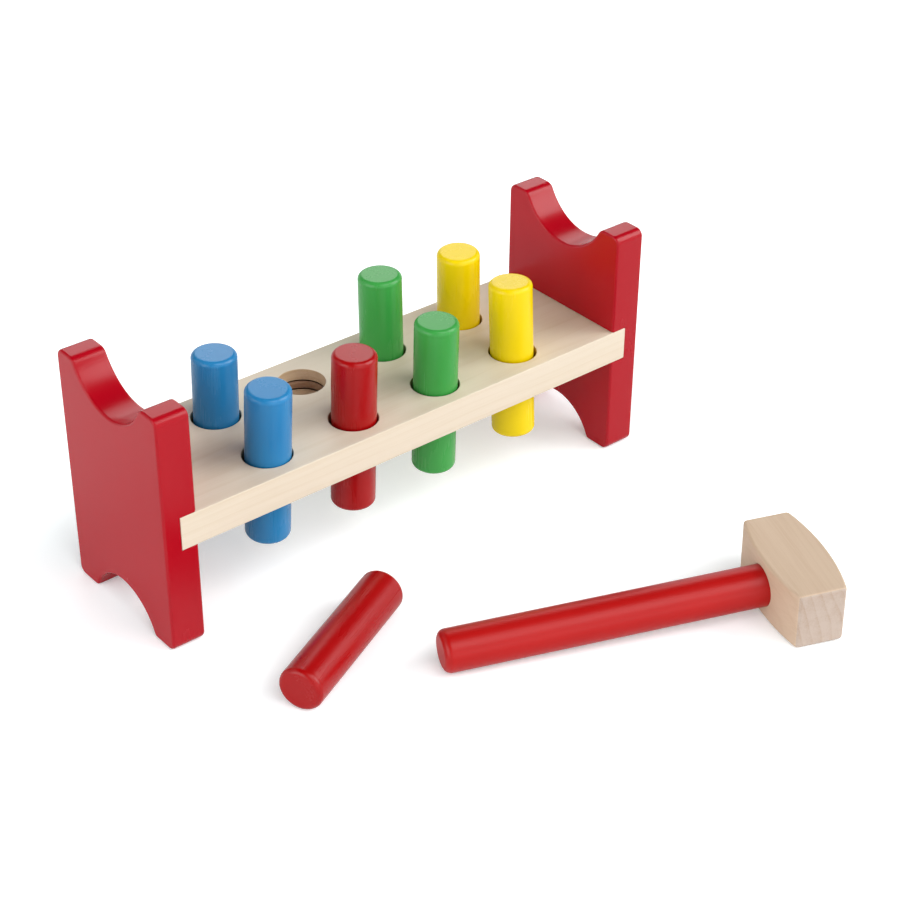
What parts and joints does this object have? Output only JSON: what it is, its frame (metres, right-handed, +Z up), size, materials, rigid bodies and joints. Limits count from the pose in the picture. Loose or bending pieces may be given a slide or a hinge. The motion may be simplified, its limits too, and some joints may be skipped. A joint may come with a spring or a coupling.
{
  "type": "peg pounding bench",
  "caption": "Wooden toy bench: scooped end panels carry a board that grips round coloured pegs in rubber rings, with a mallet that drives the pegs through",
  "frame": {"origin": "on the floor, in the middle of the ground that the bench, the loose peg and the mallet cover", "axes": "+X along the bench to the right, +Y from the loose pieces in front to the bench at the rear, +Z up"},
  "size_m": [0.262, 0.2438, 0.1135],
  "materials": {
    "red_paint": "gloss painted",
    "board_wood": "clear satin",
    "blue_paint": "gloss painted",
    "green_paint": "gloss painted",
    "yellow_paint": "gloss painted",
    "red_peg_paint": "gloss painted",
    "ring_rubber": "matt",
    "head_wood": "smooth sanded",
    "handle_paint": "satin painted"
  },
  "bodies": {
    "bench": {"left_end_panel": "red_paint", "right_end_panel": "red_paint", "bench_board": "board_wood", "friction_ring_rear_1": "ring_rubber", "friction_ring_rear_2": "ring_rubber", "friction_ring_rear_3": "ring_rubber", "friction_ring_rear_4": "ring_rubber", "friction_ring_front_1": "ring_rubber", "friction_ring_front_2": "ring_rubber", "friction_ring_front_3": "ring_rubber", "friction_ring_front_4": "ring_rubber"},
    "blue_peg_rear": {"blue_peg_rear": "blue_paint"},
    "green_peg_rear": {"green_peg_rear": "green_paint"},
    "yellow_peg_rear": {"yellow_peg_rear": "yellow_paint"},
    "blue_peg_front": {"blue_peg_front": "blue_paint"},
    "red_peg_front": {"red_peg_front": "red_peg_paint"},
    "green_peg_front": {"green_peg_front": "green_paint"},
    "yellow_peg_front": {"yellow_peg_front": "yellow_paint"},
    "red_peg_loose": {"red_peg_loose": "red_peg_paint"},
    "mallet": {"mallet_head": "head_wood", "mallet_handle": "handle_paint"}
  },
  "joints": [
    {"name": "blue_peg_rear_slide", "type": "slide", "parent": "bench", "child": "blue_peg_rear", "axis": [0.0274, 0, 0.9996], "range_m": [-0.0197, 0.0456]},
    {"name": "green_peg_rear_slide", "type": "slide", "parent": "bench", "child": "green_peg_rear", "axis": [-0.0075, 0.0087, 0.9999], "range_m": [-0.0273, 0.038]},
    {"name": "yellow_peg_rear_slide", "type": "slide", "parent": "bench", "child": "yellow_peg_rear", "axis": [-0.0348, -0.0261, 0.9991], "range_m": [-0.0244, 0.0409]},
    {"name": "blue_peg_front_slide", "type": "slide", "parent": "bench", "child": "blue_peg_front", "axis": [0, -0.0745, 0.9972], "range_m": [-0.0221, 0.0433]},
    {"name": "red_peg_front_slide", "type": "slide", "parent": "bench", "child": "red_peg_front", "axis": [0.0211, -0.0162, 0.9996], "range_m": [-0.0208, 0.0445]},
    {"name": "green_peg_front_slide", "type": "slide", "parent": "bench", "child": "green_peg_front", "axis": [-0.0025, -0.0323, 0.9995], "range_m": [-0.0209, 0.0444]},
    {"name": "yellow_peg_front_slide", "type": "slide", "parent": "bench", "child": "yellow_peg_front", "axis": [0, 0.0597, 0.9982], "range_m": [-0.0231, 0.0423]},
    {"name": "red_peg_loose_lift", "type": "slide", "parent": "bench", "child": "red_peg_loose", "axis": [0, 0, 1], "range_m": [0, 0.12]},
    {"name": "mallet_lift", "type": "slide", "parent": "bench", "child": "mallet", "axis": [0, 0, 1], "range_m": [0, 0.15]}
  ]
}
